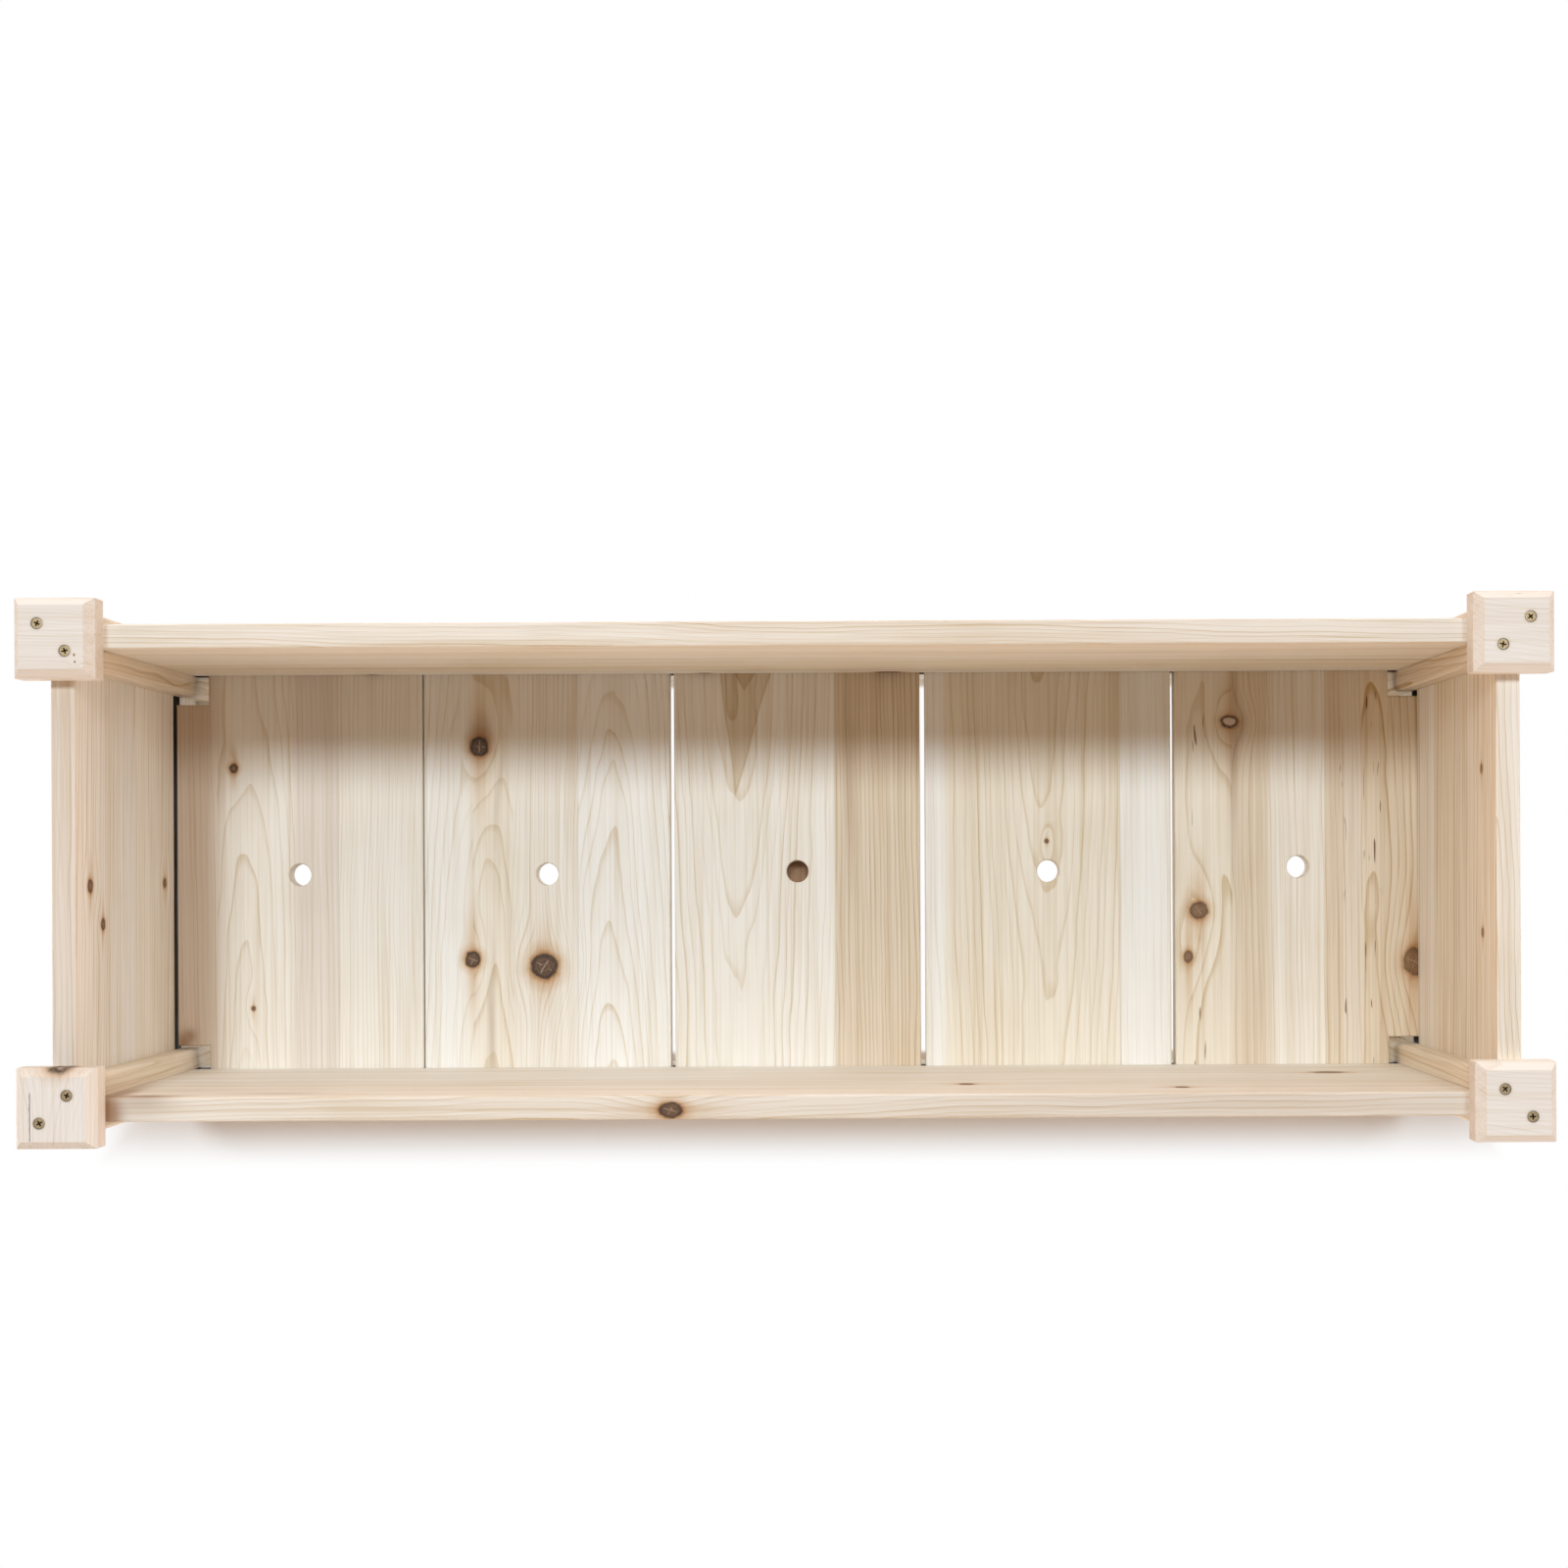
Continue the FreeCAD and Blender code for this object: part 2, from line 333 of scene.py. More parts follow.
def knotted(tree, colour, height, du, dv, dw, dark, edge, stain, turn):
    """The colour and the height of a surface with a knot of radius 1 in it."""
    ragged = noise(tree, vector(tree, du * 1.3 + turn, dv * 1.3, dw * 0.2), 3.0, 0.55)[0]
    mottle = split(noise(tree, vector(tree, du * 2.4 + turn, dv * 2.4, dw * 0.2), 3.0, 0.65)[1])
    out = length(length(du, dv), dw * 0.3) + (ragged - 0.5) * 0.45
    halo = dark * 0.6 + 0.4
    tail = dv.bell(0.8) * (du / stain).bell(1.0) * (dw * 0.3).bell(1.2)
    colour = mixed(tree, tail * 0.6, colour, KNOT_HALO, "MULTIPLY")
    colour = mixed(tree, out.rise(0.8, 2.4).inverse() * halo * 0.7, colour, KNOT_HALO, "MULTIPLY")
    colour = mixed(tree, out.rise(0.95, 1.5).inverse() * halo * 0.8, colour, KNOT_HALO, "MULTIPLY")

    # The core: rings round its middle, a mottled dark edge and two cracks.
    rings = (out * 21.0 + ragged * 3.0).math("SINE") * 0.5 + 0.5
    core = mixed(tree, rings * 0.5, KNOT_CORE, KNOT_RING)
    core = mixed(tree, out.rise(0.3, 0.95) * mottle[1].rise(0.3, 0.6), core, KNOT_EDGE)
    colour = mixed(tree, out.rise(0.86, 1.04).inverse() * dark, colour, core)
    pale = out.rise(0.45, 0.8).inverse() * (edge - dark).math("MAXIMUM", 0.0)
    colour = mixed(tree, pale, colour, KNOT_PALE)
    sine, cosine = turn.math("SINE"), turn.math("COSINE")
    crack = (du * sine + dv * cosine + (mottle[0] - 0.5) * 0.25).bell(0.045)
    crack = crack.math("MAXIMUM", (du * cosine - dv * sine).bell(0.04) * mottle[1].rise(0.4, 0.6))
    colour = mixed(tree, crack * out.rise(0.4, 0.75).inverse() * dark * 0.8, colour, KNOT_CRACK)
    thick = (edge - dark).math("MAXIMUM", 0.0) * 0.14 + 0.12
    bark = ((out - 1.06 + thick) / thick).bell(1.0) * (mottle[2].rise(0.3, 0.6) * 0.6 + 0.4) * edge
    return mixed(tree, bark * 0.9, colour, KNOT_EDGE), height - bark * 2.0


SWAY = group("fir_sway", sway, "u v w seed", "bent sunk")
ASIDE = group("fir_aside", turn_aside, "bent sunk du dv dw radius longer", "bent sunk")
GROWTH = group(
    "fir_growth", grow, "u v w aside down spacing strength seed end colour", "colour height rough"
)
KNOT = group("fir_knot", knotted, "colour height du dv dw dark edge stain turn", "colour height")


# A colour ramp hands each strip's pith, depth and spacing on as parts of a colour from
# 0 to 1. A pith lies between PITH_LOW and PITH_LOW + PITH_RANGE from the first strip.
PITH_LOW, PITH_RANGE = -400.0, 1200.0
DEPTH_RANGE = 300.0
SPACING_RANGE = 12.0


def strip_values(position, strips, low, high):
    """The tint, pith, depth, spacing and strength of the strip at a position, which is 0
    where the first strip starts and 1 at high."""
    stops = [(max(0.0, (strip.start - low) / (high - low)), strip) for strip in strips]
    tints = [(0.0, linear(strips[0].tint))]
    for (_, before), (at, strip) in zip(stops, stops[1:]):
        soft = strip.soft / (high - low)
        tints += [(at - soft, linear(before.tint)), (at + soft, linear(strip.tint))]
    tint = ramp(position, tints)[0]
    shapes = []
    for at, strip in stops:
        pith = (strip.pith - low - PITH_LOW) / PITH_RANGE
        shape = (pith, strip.depth / DEPTH_RANGE, strip.spacing / SPACING_RANGE, strip.strength)
        shapes.append((at, shape))
    shape, strength = ramp(position, shapes, "CONSTANT")
    pith, depth, spacing = split(shape)
    pith = pith * PITH_RANGE + (low + PITH_LOW)
    return tint, pith, depth * DEPTH_RANGE, spacing * SPACING_RANGE, strength


def flamed(colour, flame, u, bent):
    away = u - flame.tip
    inside = away * flame.spread - (bent - flame.across - away * flame.lean).math("ABSOLUTE")
    amount = (inside.rise(-0.4, 0.4) * 0.6 + inside.bell(0.9) * 0.4) * flame.amount
    return mixed(u.tree, amount, colour, LATEWOOD, "MULTIPLY")


def stained_and_shaded(colour, stain, axes, u, bent, w):
    middle = (stain.x, stain.y, stain.z)
    offset = [part - middle[axis] for part, axis in zip((u, bent, w), axes)]
    spread = length(length(offset[0] / stain.long, offset[1] / stain.wide), offset[2] / 14.0)
    return mixed(u.tree, spread.bell(1.0) * stain.amount, colour, linear(BROWN_STAIN_AND_SHADE))


def glued(colour, strip, v):
    """The glue line where a strip starts."""
    return mixed(v.tree, (v - strip.start).bell(0.35) * 0.2, colour, RESIN_BROWN)


def resinous(colour, mark, u, v, w, bent, seed):
    place = vector(u.tree, u * 0.03 + seed, bent * 0.4, w * 0.1)
    spots = noise(u.tree, place, 1.0, 0.4)[0].rise(0.67, 0.72)
    inside = v.rise(mark.low, mark.low + 2) * v.rise(mark.high - 2, mark.high).inverse()
    return mixed(u.tree, spots * inside * mark.amount, colour, RESIN_BROWN)


def cracked(colour, height, crack, u, v, seed):
    width = noise(u.tree, vector(u.tree, u * 0.15, seed, 0.0), 2.0, 0.5)[0]
    open_part = u.rise(crack.low, crack.low + 2) * u.rise(crack.high - 2, crack.high).inverse()
    gap = ((v - crack.across + (width - 0.5) * 1.2) / (width * 0.7)).bell(1.0) * open_part
    return mixed(u.tree, gap * 0.9, colour, KNOT_EDGE), height - gap * 3.0


def crushed_and_shaded(colour, x, y):
    """The wood that a screw's head presses down round itself, x and y from its middle: crushed
    fibres, and a dark ring of painted shade in the gap round the head.
    """
    out = length(x, y)
    colour = mixed(out.tree, (out - 4.1).bell(0.35) * 0.8, colour, CRUSHED_AND_SHADE)
    return mixed(out.tree, (out - 4.4).bell(1.4) * 0.4, colour, END_GRAIN, "MULTIPLY")


def painted_groove_shade(colour, v, depth):
    """Painted shade darkens the groove that the floor boards lie in, depth being into the wall."""
    inside = depth.rise(0.2, 0.6) * depth.rise(11, 12).inverse()
    inside = inside * v.rise(FLOOR_BOTTOM - 0.8, FLOOR_BOTTOM - 0.2)
    inside = inside * v.rise(FLOOR_TOP + 0.2, FLOOR_TOP + 0.8).inverse()
    return mixed(v.tree, inside * 0.8, colour, KNOT_EDGE)


def fir(
    name, along, across, face, strips, high,
    slope=(0.0, 0.0), knots=(), resin=(), seed=0.0, cracks=(), heads=(),
    stains_and_shade=(), flames=(), shade_groove=False,
):
    """Planed fir in strips that run from strips[0].start to high, across the grain.

    face is the reference face's coordinate on the remaining axis, and the piths lie
    below it. slope says how far the pith moves across and down for each millimetre
    along the grain, which turns straight rings into pointed ones. heads are the (x, y)
    of the screws in its upper or lower face, where the wood is crushed and a ring of
    painted shade marks the gap round each head.
    """
    material, tree, shader = new_material(name)
    place = [part * 1000.0 for part in split(coordinates(tree))]
    axes = (along, across, 3 - along - across)
    u, v, w = (place[axis] for axis in axes)
    low = strips[0].start

    # The grain sways a little, and turns out of the way of the knots.
    bent, sunk = use(tree, SWAY, u, v, w, seed)
    offsets = []
    for knot in knots:
        middle = (knot.x, knot.y, knot.z)
        offset = [part - middle[axis] for part, axis in zip((u, v, w), axes)]
        if knot.through == across:
            offset[1], offset[2] = offset[2], offset[1]
        bent, sunk = use(tree, ASIDE, bent, sunk, *offset, knot.radius, knot.longer)
        offsets.append(offset)

    position = (v - low) / (high - low)
    tint, pith, depth, spacing, strength = strip_values(position, strips, low, high)
    aside = bent - pith + u * slope[0]
    down = sunk + depth + (u * slope[1] - face)
    end = split(coordinates(tree, "Normal"))[along]
    colour, height, rough = use(
        tree, GROWTH, u, v, w, aside, down, spacing, strength, seed, end, tint
    )

    for flame in flames:
        colour = flamed(colour, flame, u, bent)
    for stain in stains_and_shade:
        colour = stained_and_shaded(colour, stain, axes, u, bent, w)
    for strip in strips[1:]:
        if strip.soft < 1:
            colour = glued(colour, strip, v)
    for mark in resin:
        colour = resinous(colour, mark, u, v, w, bent, seed)
    for crack in cracks:
        colour, height = cracked(colour, height, crack, u, v, seed)
    for head_x, head_y in heads:
        colour = crushed_and_shaded(colour, place[X] - head_x, place[Y] - head_y)
    for knot, (du, dv, dw) in zip(knots, offsets):
        radius = knot.radius
        edge = knot.dark if knot.edge is None else knot.edge
        colour, height = use(
            tree, KNOT, colour, height, du / (radius * knot.longer), dv / radius, dw / radius,
            knot.dark, edge, knot.stain, radius + knot.x * 0.1,
        )
    # Painted shade: the groove that holds the floor boards is darkened, standing for the shade
    # inside it.
    if shade_groove:
        colour = painted_groove_shade(colour, v, w.math("ABSOLUTE") - abs(face))

    tree.links.new(colour.socket, shader.inputs["Base Color"])
    feed(tree, shader.inputs["Roughness"], rough)
    shader.inputs["Specular IOR Level"].default_value = 0.35
    bump(tree, shader, height, 0.00006)
    return material


def dress(name, material):
    nodes[name].data.materials.clear()
    nodes[name].data.materials.append(material)


FLOOR = {
    "floor_board_1": {
        "strips": [
            # The first strip, next to the left end wall, is darker both for its brown wood and as
            # painted shade from that wall.
            Strip(-519.4, UMBER_AND_SHADE, -700, 60, 3.6, 0.5),
            Strip(-486, CREAM, -462, 26, 5.0, 0.5, 9),
            Strip(-421, ASH, -640, 60, 4.4, 0.4, 3),
            Strip(-384, CREAM, -120, 50, 3.2, 0.5),
        ],
        "high": -312.8,
        "slope": (0.0, 0.06),
        "knots": [
            Knot(-471.6, 87.2, FLOOR_TOP, 3.4, 1.1, 0.85, 4),
            Knot(-455.9, -114.4, FLOOR_TOP, 1.7, 1.1, 0.75, 5),
        ],
        "stains_and_shade": [
            Stain(-515.0, -142.0, FLOOR_TOP, 8.0, 7.0, 1.0),
            Stain(-509.0, -137.0, FLOOR_TOP, 6.0, 6.0, 0.8),
        ],
    },
    "floor_board_2": {
        "strips": [
            Strip(-311.6, PALE, -250, 46, 5.0, 0.4),
            Strip(-272, HONEY_PALE, -256, 38, 5.6, 0.5, 12),
            Strip(-238, CREAM, -40, 60, 3.2, 0.6, 10),
            Strip(-183, PALE, -155.8, 30, 4.2, 0.55),
        ],
        "high": -105.0,
        "slope": (0.0, 0.08),
        "knots": [
            Knot(-265.3, 104.6, FLOOR_TOP, 7.6, 1.1, 0.95, 7),
            Knot(-271.6, -74.1, FLOOR_TOP, 6.4, 1.05, 0.9, 7),
            Knot(-211.6, -80.2, FLOOR_TOP, 11.2, 0.95, 0.92, 3),
        ],
        "stains_and_shade": [
            Stain(-266.0, 117.0, FLOOR_TOP, 15.0, 5.0, 0.5),
            Stain(-256.0, -128.0, FLOOR_TOP, 60.0, 3.5, 0.4),
            Stain(-252.0, 60.0, FLOOR_TOP, 40.0, 3.0, 0.25),
        ],
    },
    "floor_board_3": {
        "strips": [
            Strip(-101.8, IVORY, -49, 42, 4.6, 0.55),
            Strip(33, TAN, 330, 70, 3.3, 0.9),
        ],
        "high": 104.8,
        "slope": (0.0, -0.045),
        "knots": [],
        "stains_and_shade": [Stain(45.0, 60.0, FLOOR_TOP, 60.0, 5.0, 0.3)],
        "flames": [Flame(63.0, -51.9, 0.1, 0.2, 0.8), Flame(151.0, -43.0, 0.1, 0.6, 0.8)],
    },
    "floor_board_4": {
        "strips": [
            Strip(108.8, PALE, 210, 34, 4.6, 0.4),
            Strip(125, HONEY_PALE, 210, 34, 4.6, 0.55, 4),
            Strip(272, PALE, 700, 60, 3.4, 0.25),
        ],
        "high": 315.5,
        "slope": (0.0, -0.05),
        "knots": [Knot(210.5, 23.1, FLOOR_TOP, 1.6, 1.1, 0.8, 3)],
    },
    "floor_board_5": {
        "strips": [
            Strip(317.9, HONEY_PALE, 350, 40, 6.0, 0.5),
            Strip(331, HONEY_PALE, 352, 36, 6.5, 0.6, 4),
            Strip(366, TAN, 620, 60, 4.6, 0.7, 3),
            Strip(398, CREAM, 560, 60, 3.6, 0.5, 3),
            Strip(444, TAN, 700, 70, 3.8, 0.8),
            Strip(459, HONEY, 700, 50, 4.0, 0.7, 3),
            # The last strip, next to the right end wall, is partly pale wood and partly painted
            # light for the brighter light there.
            Strip(475, SAND_AND_LIGHT, 484, 24, 5.0, 0.9, 5),
        ],
        "high": 524.5,
        "slope": (0.02, 0.03),
        "knots": [
            Knot(364.4, 122.6, FLOOR_TOP, 7.6, 0.7, 0.3, 9, None, 1.0),
            Knot(338.1, -35.9, FLOOR_TOP, 7.6, 0.95, 0.66, 5),
            Knot(329.0, -74.5, FLOOR_TOP, 3.8, 1.3, 0.65, 9),
            Knot(519.0, -79.5, FLOOR_TOP, 9.0, 1.3, 0.55, 6),
        ],
        "resin": [Resin(476, 493, 0.95), Resin(454, 463, 0.8), Resin(332, 345, 0.85)],
        "stains_and_shade": [Stain(369.0, 90.0, FLOOR_TOP, 80.0, 3.5, 0.4)],
    },
}
for order, (name, look) in enumerate(FLOOR.items()):
    dress(name, fir(name, Y, X, FLOOR_TOP, seed=7.3 * order, **look))

dress(
    "back_wall",
    fir("back_wall", X, Z, INNER_Y,
        [
            Strip(20, PALE, -160, 60, 4.2, 0.8),
            Strip(96, HONEY_PALE, 420, 70, 7.6, 0.8, 12),
            Strip(150, CREAM, 420, 70, 7.6, 0.6, 12),
            Strip(RIM, CREAM, 300, 120, 3.4, 0.8),
        ],
        WALL_TOP, (0.0, 0.02),
        [
            Knot(-354, 165, 70, 4.0, 1.4, 0.8, 4), Knot(-75.6, 165, 73, 3.0, 1.6, 0.8, 4),
            Knot(78, 165, 75, 5.0, 2.0, 0.8, 4),
        ],
        [], 51.0,
        stains_and_shade=[
            Stain(-380.0, 165.0, 120.0, 170.0, 5.0, 0.3),
            Stain(-150.0, 165.0, 175.0, 120.0, 4.0, 0.25),
            Stain(60.0, 165.0, 92.0, 210.0, 4.0, 0.35),
            Stain(240.0, 165.0, 205.0, 180.0, 4.0, 0.2),
            Stain(430.0, 165.0, 150.0, 120.0, 5.0, 0.35),
            Stain(420.0, 174.0, 256.0, 250.0, 60.0, 0.08),
        ],
        shade_groove=True),
)
dress(
    "front_wall",
    fir("front_wall", X, Z, -INNER_Y,
        [
            Strip(20, PALE, 500, 60, 4.4, 0.6),
            Strip(148, PALE, -200, 80, 7.0, 0.6, 8),
            Strip(RIM, CREAM, 300, 90, 3.6, 0.8),
        ],
        WALL_TOP, (0.0, -0.02),
        [
            Knot(-85.7, -176.0, WALL_TOP, 5.8, 1.5, 0.85, 4, Z),
            Knot(135, -165, 198.6, 4.5, 1.2, 0.7, 4),
            Knot(296, -165, 223, 4.0, 1.2, 0.7, 4),
            Knot(430.5, -165, 132, 5.0, 2.2, 0.7, 3),
        ],
        [], 64.0,
        cracks=[Crack(251.0, -485.0, -462.0)],
        stains_and_shade=[
            # Painted shade: the two darkest patches on the rim, beside the front-left cap, stand
            # for the shade by the cap.
            Stain(-500.0, -174.0, 256.0, 9.0, 60.0, 1.0),
            Stain(-498.0, -178.0, 256.0, 9.0, 60.0, 0.9),
            Stain(-474.0, -166.0, 250.0, 24.0, 7.0, 0.9),
            Stain(-380.0, -166.0, 236.0, 40.0, 6.0, 0.4),
            Stain(360.0, -174.0, 256.0, 300.0, 60.0, 0.25),
        ],
        shade_groove=True),
)
dress(
    "left_end_wall",
    fir("left_end_wall", Y, Z, -INNER_X,
        [
            Strip(20, PALE, 480, 50, 5.4, 0.8),
            Strip(150, CHALK, -160, 60, 5.0, 0.7, 6),
            Strip(RIM, ASH, 320, 90, 3.8, 0.6),
        ],
        WALL_TOP, (0.03, 0.02),
        [
            Knot(-522, -9.7, 231.6, 4.2, 1.2, 0.75, 4),
            Knot(-522, -39.0, 209.5, 3.6, 1.2, 0.75, 4),
            Knot(-522, -8.6, 91.1, 3.2, 1.2, 0.7, 4),
        ],
        [], 77.0, shade_groove=True),
)
dress(
    "right_end_wall",
    fir("right_end_wall", Y, Z, INNER_X,
        [
            Strip(20, PALE, -240, 60, 5.6, 0.6),
            Strip(120, HONEY_PALE, 560, 60, 5.8, 1.0, 8),
            Strip(160, CREAM, 560, 60, 5.8, 1.0, 8),
            Strip(RIM, CREAM, 320, 90, 3.8, 0.7),
        ],
        WALL_TOP, (-0.02, 0.03),
        [Knot(522, 73.8, 225, 2.4, 1.4, 0.5, 4), Knot(522, -49.4, 226, 2.4, 1.4, 0.5, 4)],
        [], 90.0, shade_groove=True),
)
# The crossbeam's deep brown tint is painted shade for its place under the floor.
dress(
    "crossbeam",
    fir("crossbeam", Y, X, FLOOR_BOTTOM,
        [Strip(-17.5, BROWN_STAIN_AND_SHADE, 60, 50, 3.4, 0.9)], 20.5, (0.02, 0.02), [], [], 12.0),
)

CORNERS = {
    "front_left": (-1, -1),
    "front_right": (1, -1),
    "back_left": (-1, 1),
    "back_right": (1, 1),
}
# The grain's axis of each cap, its pith across and down from the middle of its top,
# and the spacing of its rings.
CAP_PITHS = {
    "front_left": (Y, 74, 60, 3.1),
    "front_right": (X, -60, 50, 2.7),
    "back_left": (X, 90, 46, 2.3),
    "back_right": (X, -75, 70, 2.6),
}
CAP_KNOTS = {
    "front_left": [Knot(-528.5, -135.5, 272, 10.5, 0.9, 0.1, 1, None, 1.0)],
    "front_right": [],
    "back_left": [
        Knot(-513.5, 158.0, 276, 0.8, 0.6, 0.7, 2),
        Knot(-513.0, 153.0, 276, 0.7, 0.6, 0.7, 2),
    ],
    "back_right": [Knot(533.5, 198.2, 273, 0.3, 6.0, 0.6, 1)],
}
CAP_CRACKS = {"front_left": [Crack(-547.2, -195.0, -158.0)]}
for order, (corner, (side_x, side_y)) in enumerate(CORNERS.items()):
    grain, aside, depth, spacing = CAP_PITHS[corner]
    for kind in ("cap", "foot"):
        name = kind + "_" + corner
        low, high = (part * 1000 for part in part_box(name))
        middle = (low + high) / 2
        across = X + Y - grain
        heads = [
            (middle.x + side_x * step, middle.y + side_y * step)
            for step in (HEAD_OFFSET, -HEAD_OFFSET)
        ]
        strip = Strip(low[across], CAP_WOOD, middle[across] + aside, depth, spacing, 0.3)
        seen = kind == "cap"
        dress(name, fir(name, grain, across, high.z, [strip], high[across], (0.04, 0.05),
                        CAP_KNOTS[corner] if seen else [], [], 20.0 + 3 * order + seen,
                        CAP_CRACKS.get(corner, []) if seen else [], heads))
    name = "post_" + corner
    low, high = (part * 1000 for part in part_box(name))
    strip = Strip(low.x, HONEY if side_y > 0 else HONEY_PALE, low.x - 40, 60, 3.8, 0.9)
    dress(name, fir(name, Z, X, high.y, [strip], high.x, (0.01, 0.03), [], [], 40.0 + 3 * order))


# ---- Screws ----

HEAD_RADIUS = 4.0
SHANK_RADIUS = 2.0
HEAD_SINK = 0.3
THREAD_PITCH = 2.0


def cross_recess(x, y):
    """How deep the driver's cross is at a place on the head, in millimetres."""
    depth = 0.0
    for along, aside in ((abs(x), abs(y)), (abs(y), abs(x))):
        wall = min(1.0, max(0.0, (0.62 - 0.12 * along - aside) / 0.22))
        end = min(1.0, max(0.0, (2.35 - along) / 0.5))
        depth = max(depth, (1.9 - 0.35 * along) * wall * end)
    return depth


def thread_radius(angle, height, down):
    """How far the thread reaches out, down being 0 where it starts and 1 at the point."""
    core = (SHANK_RADIUS - 0.65) * min(1.0, (1 - down) * 8 + 0.12)
    winding = (height / THREAD_PITCH + angle / (2 * math.pi)) % 1.0
    ridge = max(0.0, 1 - abs(winding - 0.5) * 4)
    return core + 0.6 * ridge * min(1.0, (1 - down) * 6, down * 12)


def is_painted_shade(corners):
    """Whether a face of the screw gets painted shade: in the cross of its head, or on its rim."""
    out = [math.hypot(x, y) for x, y, _ in corners]
    down = [z for _, _, z in corners]
    pressed = max(out) < 3.5 and sum(down) / len(down) < -0.3 and min(down) > -2.1
    return pressed or (min(out) > 3.6 and min(down) > -0.4)


def screw_mesh(length, turns=40, head_rings=16):
    """The points and faces of a countersunk wood screw that points down from the origin,
    and for each face whether it gets painted shade."""
    points, faces = [], []

    def ring(radius, height):
        """A ring of points. Its radius may depend on the angle, its height on x and y."""
        first = len(points)
        for step in range(turns):
            angle = 2 * math.pi * step / turns
            out = radius(angle) if callable(radius) else radius
            x, y = out * math.cos(angle), out * math.sin(angle)
            points.append((x, y, height(x, y) if callable(height) else height))
        return first

    # The head: its face with the cross pressed into it, its rim and its cone.
    points.append((0, 0, -cross_recess(0, 0)))
    rings = []
    for index in range(1, head_rings + 1):
        rings.append(ring(3.8 * index / head_rings, lambda x, y: -cross_recess(x, y)))
    for step in range(turns):
        faces.append((0, rings[0] + step, rings[0] + (step + 1) % turns))
    rings.append(ring(HEAD_RADIUS - 0.05, -0.06))
    rings.append(ring(HEAD_RADIUS, -0.16))
    rings.append(ring(HEAD_RADIUS - 0.02, -0.34))
    rings.append(ring(SHANK_RADIUS - 0.3, -2.5))
    smooth_end = -length * 0.36
    rings.append(ring(SHANK_RADIUS - 0.3, smooth_end))

    # The thread: a ridge that winds down to the point.
    rows = int((length + smooth_end) / THREAD_PITCH * 5)
    for row in range(1, rows + 1):
        down = row / rows
        height = smooth_end - (length + smooth_end) * down
        rings.append(ring(lambda angle: thread_radius(angle, height, down), height))
    for upper, lower in zip(rings, rings[1:]):
        for step in range(turns):
            after = (step + 1) % turns
            faces.append((upper + step, lower + step, lower + after, upper + after))
    points.append((0, 0, -length))
    for step in range(turns):
        faces.append((rings[-1] + (step + 1) % turns, rings[-1] + step, len(points) - 1))
    return points, faces, [is_painted_shade([points[index] for index in face]) for face in faces]


def screws(name, node, screw_length, places):
    """One piece for a CAD node of screws, from (place in metres, direction, turn) for each."""
    pattern, pattern_faces, dark = screw_mesh(screw_length)
    points, faces = [], []
    for place, direction, turn in places:
        turned = Vector(direction).to_track_quat("-Z", "Y").to_matrix().to_4x4()
        matrix = Matrix.Translation(place) @ turned @ Matrix.Rotation(turn, 4, "Z")
        start = len(points)
        points += [matrix @ (Vector(point) / 1000) for point in pattern]
        faces += [tuple(start + index for index in face) for face in pattern_faces]
    mesh = bpy.data.meshes.new(name)
    mesh.from_pydata(points, [], faces)
    mesh.shade_smooth()
    mesh.set_sharp_from_angle(angle=math.radians(38))
    piece = bpy.data.objects.new(name, mesh)
    bpy.context.scene.collection.objects.link(piece)
    mesh.materials.append(zinc)
    mesh.materials.append(painted_shade_zinc)
    # Faces that get painted shade take the second, dark material.
    mesh.polygons.foreach_set("material_index", [int(part) for part in dark * len(places)])
    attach(piece, "root")
    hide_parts(node)
    return piece


def yellow_zinc(name, light, dark):
    """Zinc plate with a yellow tinge, a little uneven, as on a new wood screw."""
    material, tree, shader = new_material(name)
    place = coordinates(tree)
    cloud = noise(tree, vector(tree, *(part * 900.0 for part in split(place))), 3.0, 0.6)[0]
    fine = noise(tree, vector(tree, *(part * 5200.0 for part in split(place))), 2.0, 0.6)[0]
    colour = mixed(tree, cloud.rise(0.3, 0.7), linear(light), linear(dark))
    tree.links.new(colour.socket, shader.inputs["Base Color"])
    shader.inputs["Metallic"].default_value = 1.0
    feed(tree, shader.inputs["Roughness"], cloud * 0.2 + 0.32)
    bump(tree, shader, fine, 0.00001)
    return material


zinc = yellow_zinc("yellow_zinc", (166, 146, 114), (124, 106, 80))
# The cross in each head and the rim round it get a dark copy of the zinc: painted shade.
painted_shade_zinc = yellow_zinc("yellow_zinc_painted_shade", (62, 48, 34), (40, 31, 23))
cap_heads, foot_heads = [], []
for order, (corner, (side_x, side_y)) in enumerate(CORNERS.items()):
    low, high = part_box("cap_" + corner)
    middle = (low + high) / 2
    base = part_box("foot_" + corner)[0]
    for number, step in enumerate((HEAD_OFFSET / 1000, -HEAD_OFFSET / 1000)):
        x, y = middle.x + side_x * step, middle.y + side_y * step
        turn = 0.5 + 1.1 * order + 0.7 * number
        cap_heads.append(((x, y, high.z - HEAD_SINK / 1000), (0, 0, -1), turn))
        foot_heads.append(((x, y, base.z + HEAD_SINK / 1000), (0, 0, 1), turn + 0.4))
screws("cap_screws_detail", "cap_screws", 42.0, cap_heads)
screws("foot_screws_detail", "foot_screws", 42.0, foot_heads)

beam_low, beam_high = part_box("crossbeam")
beam_middle = (beam_low + beam_high) / 2
beam_heads = []
for side in (-1, 1):
    face = max(abs(part.y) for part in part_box("back_wall"))
    for number, step in enumerate((-0.010, 0.010)):
        place = (beam_middle.x + step, side * (face - HEAD_SINK / 1000), beam_middle.z)
        beam_heads.append((place, (0, -side, 0), 0.3 + 0.8 * number + side * 0.2))
screws("crossbeam_screws_detail", "crossbeam_screws", 45.0, beam_heads)


